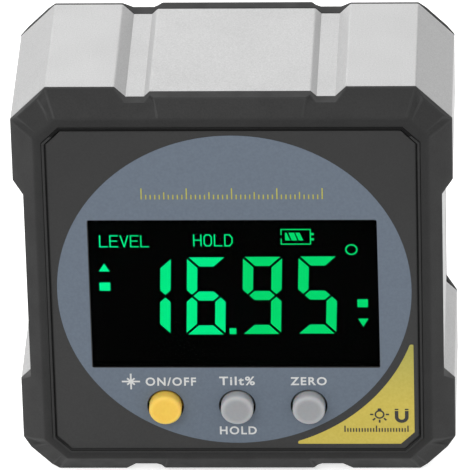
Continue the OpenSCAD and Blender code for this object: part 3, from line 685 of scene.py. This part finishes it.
def corner_print():
    """Yellow corner between an arc round the disc and the edges of the face, with blunt tips."""
    front, back = FIELD_LEVELS
    first = -math.acos(PATCH_TIP_X / PATCH_R)
    last = math.asin((PATCH_TIP_Z - DISC_Z) / PATCH_R)
    bm = bmesh.new()
    start = (PATCH_R * math.cos(first), DISC_Z + PATCH_R * math.sin(first))
    bmesh.ops.spin(bm, geom=corners_at(bm, [start], front), cent=Vector((0, front, DISC_Z)) * MM,
                   axis=(0, -1, 0), angle=last - first, steps=48)
    arc = sorted(bm.verts, key=lambda v: v.co.x)
    corners = corners_at(bm, ((PATCH_RIGHT, PATCH_TIP_Z), (PATCH_RIGHT, PATCH_CUT_Z),
                              (PATCH_CUT_X, PATCH_LOW), (PATCH_TIP_X, PATCH_LOW)), front)
    bm.faces.new(arc + corners)
    tips = [arc[0], arc[-1], corners[0], corners[-1]]
    bmesh.ops.bevel(bm, geom=tips, offset=PATCH_ROUND * MM, offset_type="OFFSET", segments=3, profile=0.5,
                    affect="VERTICES", clamp_overlap=True, material=-1)
    sheet_from(bm, bm.faces[:], front, back)
    face_outwards(bm)
    set_down(bm, "corner_print", "case", "face_print", CORNER_YELLOW)


def legend_prints():
    front, back = LEGEND_LEVELS
    bm = bmesh.new()
    for words, left, right, low, high in LEGENDS:
        lettering(bm, words, left, right, low, high, front, back)
    middle = Vector(SUN_MIDDLE)
    for degrees, length in SUN_RAYS:
        run = heading(degrees) * length
        bar(bm, middle - run, middle + run, SUN_STROKE, front - degrees * SUN_HAIR, back)
    face_outwards(bm)
    set_down(bm, "legend_prints", "case", "face_print", PALE_PRINT)


def scale_ticks():
    """A plain row of graduations above the window, with a longer tick at each fifth and tenth step."""
    front, back = LEGEND_LEVELS
    bm = bmesh.new()
    for step in range(SCALE_STEPS + 1):
        x = -SCALE_HALF + step * 2 * SCALE_HALF / SCALE_STEPS
        top = next(SCALE_TOPS[every] for every in SCALE_TOPS if step % every == 0)
        bar(bm, (x, SCALE_LOW), (x, top), SCALE_STROKE, front, back)
    face_outwards(bm)
    set_down(bm, "scale_ticks", "case", "face_print", OLIVE_PRINT)


def bulb_sign(bm, front, back):
    middle = Vector(BULB_AT)
    ring(bm, *BULB_AT, *BULB_RING, front, back, 32)
    plate(bm, [middle + Vector(corner) for corner in BULB_BASE], front - BULB_BASE_HAIR, back)
    for degrees in BULB_WAYS:
        near, far = (middle + heading(degrees) * length for length in BULB_RAY)
        bar(bm, near, far, BULB_STROKE, front, back)


def magnet_sign(bm, front, back):
    x, z = MAGNET_AT
    inner, outer = MAGNET_BEND - MAGNET_HALF, MAGNET_BEND + MAGNET_HALF
    middle = Vector((x, front, z)) * MM
    seed = corners_at(bm, [(x - outer, z), (x - inner, z)], front)
    line = bm.edges.new(seed)
    bmesh.ops.spin(bm, geom=seed + [line], cent=middle, axis=(0, -1, 0), angle=math.pi, steps=24)
    bow = [f for f in bm.faces if all(abs(v.co.y - middle.y) < NEAR * MM for v in f.verts)
           and all((v.co - middle).length < (outer + NEAR) * MM for v in f.verts)]
    sheet_from(bm, bow, front, back)
    for side in (-1, 1):
        near, far = x + side * inner, x + side * outer
        block(bm, near, far, z, z + MAGNET_LIMB, front, back)
        block(bm, near, far, z + MAGNET_TIP[0], z + MAGNET_TIP[1], front, back)


def corner_ticks(bm, front, back):
    for step in range(CORNER_TICKS):
        x = CORNER_TICK_FROM + step * CORNER_TICK_STEP
        top = CORNER_TICK_LONG if step % CORNER_TICK_EVERY == 0 else CORNER_TICK_TOP
        bar(bm, (x, CORNER_TICK_LOW), (x, top), CORNER_STROKE, front, back)


def corner_signs():
    """A plain bulb, a plain magnet and a row of ticks on the yellow corner."""
    bm = bmesh.new()
    bulb_sign(bm, *LEGEND_LEVELS)
    magnet_sign(bm, *LEGEND_LEVELS)
    corner_ticks(bm, *LEGEND_LEVELS)
    face_outwards(bm)
    set_down(bm, "corner_signs", "case", "face_print", DARK_PRINT)


# Display

# The display lies behind its window, so a mark drawn on it sits lower than it shows from above
DISPLAY_LOWER = 1.065
DISPLAY_ASIDE = 0.097

# A figure's width, height, bar width, gap at a corner, gap at the middle and lean
DIGIT_WIDE = 5.35
DIGIT_TALL = 12.2
DIGIT_THICK = 1.43
DIGIT_GAP = 0.26
DIGIT_TIP = 0.23
DIGIT_LEAN = 0.0315
SEGMENTS = {"1": "bc", "5": "acdfg", "6": "acdefg", "9": "abcdfg"}
# Figures with the left side and foot of each
FIGURES = (("1", -14.1, 23.12), ("6", -6.53, 23.15), ("9", 1.13, 23.22), ("5", 8.73, 23.27))

# Strokes of each letter on the display, in shares of its width and height
LETTERS = {
    "L": [[(0, 1), (0, 0), (1, 0)]],
    "E": [[(1, 1), (0, 1), (0, 0), (1, 0)], [(0, 0.52), (0.88, 0.52)]],
    "V": [[(0, 1), (0.5, 0), (1, 1)]],
    "H": [[(0, 0), (0, 1)], [(1, 0), (1, 1)], [(0, 0.52), (1, 0.52)]],
    "O": [[(0, 0.2), (0, 0.8), (0.25, 1), (0.75, 1), (1, 0.8), (1, 0.2), (0.75, 0), (0.25, 0), (0, 0.2)]],
    "D": [[(0, 0), (0, 1), (0.65, 1), (1, 0.72), (1, 0.28), (0.65, 0), (0, 0)]]}
LETTER_STROKE = 0.175
# A stroke runs past its ends by this share of half its width, so that corners close
LETTER_OVERRUN = 0.8
# Words with the left, right, low and high side of each and the width of a letter
WORDS = (("LEVEL", -18.3, -11.47, 36.95, 38.85, 1.2), ("HOLD", -5.43, -0.02, 37.08, 38.97, 1.16))

# Decimal point and the blocks beside the figures: left, right, low and high
BLOCKS = ((-0.78, 0.15, 23.2, 24.12), (-18.47, -16.97, 30.12, 31.4), (16.85, 18.3, 27.44, 28.7))
# Arrows up on the left and down on the right
ARROWS = (((-18.48, 33.15), (-16.98, 33.15), (-17.73, 34.4)), ((16.9, 25.63), (17.62, 24.35), (18.35, 25.63)))
# Degree ring: middle, inner and outer radius
DEGREE = (16.16, 36.54, 0.64, 0.85)

# Battery sign: lower left corner, outline, the two parts of its open left side, its nubs and its slanted bars
BATTERY_AT = (6.52, 37.34)
BATTERY_WIDE = 4.16
BATTERY_TALL = 2.45
BATTERY_STROKE = 0.16
BATTERY_OPEN = (0.95, 1.5)
BATTERY_NUBS = ((0.66, 1.0), (1.48, 1.82))
BATTERY_NUB_OUT = 0.4
BATTERY_BARS = (((0.64, 1.32), (0.6, 0.82)), ((1.52, 2.28), (1.1, 1.86)), ((2.48, 3.1), (2.02, 2.6)))
BATTERY_BAR_LOW = 0.66
BATTERY_BAR_HIGH = 1.86


def digit(bm, figure, left, low, front, back):
    """One figure of seven bars with mitred corners, leaning a little to the right."""
    wide, tall, thick, gap, tip = DIGIT_WIDE, DIGIT_TALL, DIGIT_THICK, DIGIT_GAP, DIGIT_TIP
    half, mid = thick / 2, tall / 2
    upper = [(0, tall - gap), (0, mid + tip + half), (half, mid + tip), (thick, mid + tip + half),
             (thick, tall - gap - thick)]
    top = [(gap, tall), (gap + thick, tall - thick), (wide - gap - thick, tall - thick), (wide - gap, tall)]
    middle = [(half + tip, mid), (thick + tip, mid - half), (wide - thick - tip, mid - half),
              (wide - half - tip, mid), (wide - thick - tip, mid + half), (thick + tip, mid + half)]
    bars = {"a": top, "g": middle, "f": upper,
            "d": [(x, tall - z) for x, z in top],
            "b": [(wide - x, z) for x, z in upper],
            "e": [(x, tall - z) for x, z in upper],
            "c": [(wide - x, tall - z) for x, z in upper]}
    for key in SEGMENTS[figure]:
        plate(bm, [(left + x + DIGIT_LEAN * (z - mid), low + z) for x, z in bars[key]], front, back)


def display_word(bm, word, left, right, low, high, wide, front, back):
    """A word of the display in plain straight strokes."""
    half = LETTER_STROKE / 2
    step = (right - left - wide) / (len(word) - 1)
    across, tall = wide - LETTER_STROKE, high - low - LETTER_STROKE
    for place, letter in enumerate(word):
        x = left + place * step + half
        for path in LETTERS[letter]:
            spots = [Vector((x + u * across, low + half + v * tall)) for u, v in path]
            for a, b in zip(spots, spots[1:]):
                tip = (b - a).normalized() * half * LETTER_OVERRUN
                bar(bm, a - tip, b + tip, LETTER_STROKE, front, back)


def battery_sign(bm, front, back):
    left, low = BATTERY_AT
    wide, tall, stroke = BATTERY_WIDE, BATTERY_TALL, BATTERY_STROKE

    def part(x0, x1, z0, z1):
        block(bm, left + x0, left + x1, low + z0, low + z1, front, back)

    part(0, wide, 0, stroke)
    part(0, wide, tall - stroke, tall)
    part(wide - stroke, wide, stroke, tall - stroke)
    part(0, stroke, stroke, BATTERY_OPEN[0])
    part(0, stroke, BATTERY_OPEN[1], tall - stroke)
    for foot, head in BATTERY_NUBS:
        part(wide, wide + BATTERY_NUB_OUT, foot, head)
    for foot, head in BATTERY_BARS:
        corners = [(foot[0], BATTERY_BAR_LOW), (foot[1], BATTERY_BAR_LOW),
                   (head[1], BATTERY_BAR_HIGH), (head[0], BATTERY_BAR_HIGH)]
        plate(bm, [(left + x, low + z) for x, z in corners], front, back)


def display_marks():
    front, back = MARK_LEVELS
    bm = bmesh.new()
    for figure, left, low in FIGURES:
        digit(bm, figure, left, low, front, back)
    for sides in BLOCKS:
        block(bm, *sides, front, back)
    for word, *sides in WORDS:
        display_word(bm, word, *sides, front, back)
    for arrow in ARROWS:
        plate(bm, arrow, front, back)
    ring(bm, *DEGREE, front, back)
    battery_sign(bm, front, back)
    bmesh.ops.translate(bm, verts=bm.verts, vec=Vector((-DISPLAY_ASIDE, 0, -DISPLAY_LOWER)) * MM)
    face_outwards(bm)
    set_down(bm, "display_marks", "case", "display_black", GREEN)


# Buttons

CAP_R = 2.25
CAP_ROUND = 0.45
# Radius and depth of points on the faintly dished front, from its rim to its middle
CAP_DISH = ((1.6, 0.006), (1.4, 0.018), (1.15, 0.034), (0.8, 0.05), (0.4, 0.058), (0, 0.06))
# Two rings on the side of the cap carry the fading of its painted rim highlight
CAP_RINGS = (0.8, 1.2)
FLANGE_R = 3.2
FLANGE_FROM = 3.45
FLANGE_TO = 4.25
STEM_R = 1.3
# The painted rim highlight starts at this radius, is full after this much more, and fades out at this depth
RIM_HIGHLIGHT_FROM = 1.5
RIM_HIGHLIGHT_RUN = 0.6
RIM_HIGHLIGHT_FADE = 2.6


def button_cap(node, name, body, slot, material, x):
    """A turned cap: faintly dished front, round rim, skirt, flange behind the face and stem."""
    low, high = span(node)
    front, foot = low.y, high.y - low.y
    bm = bmesh.new()

    def spot(radius, depth):
        return Vector((x + radius, front + depth, BUTTON_Z)) * MM

    def run(start, spots):
        for radius, depth in spots:
            after = bm.verts.new(spot(radius, depth))
            bm.edges.new((start, after))
            start = after

    crest = bm.verts.new(spot(CAP_R - CAP_ROUND, 0))
    turned = bmesh.ops.spin(bm, geom=[crest], cent=spot(CAP_R - CAP_ROUND, CAP_ROUND), axis=(0, 0, 1),
                            angle=math.pi / 2, steps=8)
    side = [g for g in turned["geom_last"] if isinstance(g, bmesh.types.BMVert)][0]
    run(crest, CAP_DISH)
    skirt = [(CAP_R, depth) for depth in CAP_RINGS] + [(CAP_R, FLANGE_FROM)]
    flange = [(FLANGE_R, FLANGE_FROM), (FLANGE_R, FLANGE_TO)]
    stem = [(STEM_R, FLANGE_TO), (STEM_R, foot), (0, foot)]
    run(side, skirt + flange + stem)
    bmesh.ops.spin(bm, geom=bm.verts[:] + bm.edges[:], cent=spot(0, 0), axis=(0, 1, 0), angle=2 * math.pi,
                   steps=72, use_merge=True)
    bmesh.ops.remove_doubles(bm, verts=bm.verts, dist=WELD_GAP / 2 * MM)
    face_outwards(bm)
    # The rim attribute marks where the painted highlight lies
    rim = bm.verts.layers.float.new("rim")
    for vert in bm.verts:
        deep = vert.co.y / MM - front
        away = (vert.co - spot(0, deep)).length / MM
        vert[rim] = min(1.0, max(0.0, (away - RIM_HIGHLIGHT_FROM) / RIM_HIGHLIGHT_RUN)) * max(0.0, 1.0 - deep / RIM_HIGHLIGHT_FADE)
    piece = set_down(bm, name, body, slot, material, sharp=50.0)
    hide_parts(node)


def button_caps():
    button_cap("power_button", "power_cap", "power_button", "button_yellow", YELLOW_CAP, BUTTON_X[0])
    button_cap("tilt_button", "tilt_cap", "tilt_button", "button_grey", GREY_CAP, BUTTON_X[1])
    button_cap("zero_button", "zero_cap", "zero_button", "button_grey", GREY_CAP, BUTTON_X[2])


# Solids that are shown as they are

def carried_over():
    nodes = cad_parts

    def finish(material, *names):
        for name in names:
            for place in nodes[name].material_slots:
                place.material = material

    finish(FILM, "face_overlay")
    finish(SMOKED, "display_window")
    finish(grained("display_glass", "010302", "020403", 2.0, (0.3, 0.4), bump=0.02, level=0.0), "lcd_panel")
    finish(grained("light_panel_white", "d8dcda", "e6e8e6", 0.6, (0.4, 0.5)), "backlight_panel")
    finish(grained("lamp_green", "7fd8a0", "98e6b4", 0.3, (0.25, 0.35)), "backlight_led")
    finish(grained("contact_rubber_pink", "c99a94", "d6aaa2", 0.3, (0.6, 0.7)), "zebra_strip")
    finish(grained("board_lacquer", "155c34", "1c6b3d", 0.5, (0.3, 0.4)), "main_board")
    finish(grained("chip_moulding", "17181a", "222326", 0.15, (0.55, 0.65)), "controller_chip", "tilt_sensor")
    finish(grained("small_parts_ceramic", "9a8a72", "b4a58c", 0.3, (0.45, 0.55)), "board_passives")
    finish(grained("plated_can", "b4b6b8", "c6c8ca", 0.2, (0.25, 0.35), metal=1.0),
           "crystal", "contact_bridge", "contact_positive", "contact_negative",
           "spring_upper", "spring_lower")
    finish(grained("switch_body", "26272a", "34353a", 0.2, (0.45, 0.55)),
           "power_switch", "tilt_switch", "zero_switch")
    finish(grained("plunger_white", "c8c8c2", "d6d6d0", 0.3, (0.5, 0.6)),
           "power_plunger", "tilt_plunger", "zero_plunger")
    finish(grained("magnet_nickel", "a8a8a6", "bcbcba", 0.3, (0.22, 0.34), metal=1.0),
           "magnet_top", "magnet_bottom", "magnet_left", "magnet_right")
    finish(grained("cell_wrap", "2c5f8a", "356c98", 0.6, (0.28, 0.38)), "cell_upper", "cell_lower")
    finish(grained("lead_red", "a82822", "b8342c", 0.2, (0.45, 0.55)), "wire_positive")
    finish(grained("lead_black", "1a1a1a", "262626", 0.2, (0.45, 0.55)), "wire_negative")
    finish(grained("screw_zinc", "8c8d8e", "a2a3a4", 0.15, (0.3, 0.42), metal=1.0),
           "case_screws", "board_screws")


# Studio, in metres and watts

# How strongly the room lights things, next to the full white that the camera sees
ROOM_LIGHT = 0.6
# Half the floor's side, its glow where it is looked at or mirrored, and what the camera sees on top of that
FLOOR_HALF = 4.0
FLOOR_MIRRORED = 0.36
FLOOR_STRAIGHT = 0.24
# The lamps point at the middle of the gauge
LAMP_AIM = (0, 0, 0.03)
# Lamps with their places, sizes and powers
LAMPS = (("front_left", (-0.45, -0.75, 0.75), 0.6, 5.0),
         ("front_right", (0.6, -0.6, 0.45), 0.6, 0.85),
         ("top", (0.0, 0.2, 0.9), 0.5, 1.0),
         ("back_left", (-0.45, 0.8, 0.4), 0.6, 1.0),
         ("back", (0.0, 0.85, 0.6), 0.6, 1.0))

# The camera looks at a point on the face, from so many millimetres away, turned, raised and rolled in degrees
CAMERA_LENS = 572.6
CAMERA_AIM = (0.3158, FACE_Y, 38.8928)
CAMERA_AWAY = 1017.63
CAMERA_TURN = 2.9388
CAMERA_LIFT = 29.6127
CAMERA_ROLL = -1.5513


def area_lamp(name, place, size, power):
    lamp = bpy.data.lights.new(name, "AREA")
    lamp.shape = "SQUARE"
    lamp.size = size
    lamp.energy = power
    holder = bpy.data.objects.new(name, lamp)
    way = Vector(place) - Vector(LAMP_AIM)
    holder.matrix_world = Matrix.Translation(Vector(place)) @ way.to_track_quat("Z", "Y").to_matrix().to_4x4()
    holder.visible_camera = False
    bpy.context.scene.collection.objects.link(holder)


def looked_at(tree):
    """One for rays that look straight at a surface, and one for those that look at it or mirror it."""
    path = tree.nodes.new("ShaderNodeLightPath")
    straight = path.outputs["Is Camera Ray"]
    mirrored = maths(tree, "MAXIMUM", path.outputs["Is Glossy Ray"], path.outputs["Is Transmission Ray"])
    return straight, maths(tree, "MAXIMUM", straight, mirrored)


def white_world(scene):
    world = bpy.data.worlds.new("white_room")
    scene.world = world
    world.use_nodes = True
    tree = world.node_tree
    background = tree.nodes["Background"]
    background.inputs["Color"].default_value = WHITE
    path = tree.nodes.new("ShaderNodeLightPath")
    strength = spread(tree, path.outputs["Is Camera Ray"], ROOM_LIGHT, 1.0, 0.0, 1.0)
    tree.links.new(strength, background.inputs["Strength"])


def paper_floor(scene):
    bm = bmesh.new()
    bmesh.ops.create_grid(bm, x_segments=1, y_segments=1, size=FLOOR_HALF)
    mesh = bpy.data.meshes.new("floor")
    bm.to_mesh(mesh)
    bm.free()
    floor = bpy.data.objects.new("floor", mesh)
    scene.collection.objects.link(floor)
    paper = grained("floor_paper", "f6f6f6", "fafafa", 3.0, (0.8, 0.9), bump=0.0, level=0.1)
    tree = paper.node_tree
    straight, either = looked_at(tree)
    glow = tree.nodes["Principled BSDF"].inputs
    glow["Emission Color"].default_value = WHITE
    glance = spread(tree, either, 0.0, FLOOR_MIRRORED, 0.0, 1.0)
    tree.links.new(maths(tree, "MULTIPLY_ADD", straight, FLOOR_STRAIGHT, glance), glow["Emission Strength"])
    mesh.materials.append(paper)


def white_room():
    scene = bpy.context.scene
    scene.view_settings.view_transform = "Standard"
    white_world(scene)
    paper_floor(scene)
    for name, place, size, power in LAMPS:
        area_lamp(name, place, size, power)


def set_camera():
    data = bpy.data.cameras.new("camera")
    data.sensor_width = 36.0
    data.lens = CAMERA_LENS
    data.clip_start = 0.05
    data.clip_end = 20.0
    camera = bpy.data.objects.new("camera", data)
    look = (Matrix.Rotation(math.radians(CAMERA_TURN), 4, "Z")
            @ Matrix.Rotation(math.radians(90 - CAMERA_LIFT), 4, "X")
            @ Matrix.Rotation(math.radians(CAMERA_ROLL), 4, "Z"))
    place = Vector(CAMERA_AIM) + look.col[2].to_3d() * CAMERA_AWAY
    camera.matrix_world = Matrix.Translation(place * MM) @ look
    bpy.context.scene.collection.objects.link(camera)
    bpy.context.scene.camera = camera


set_camera()
white_room()
case_pieces()
disc_print()
corner_print()
legend_prints()
scale_ticks()
corner_signs()
display_marks()
button_caps()
carried_over()
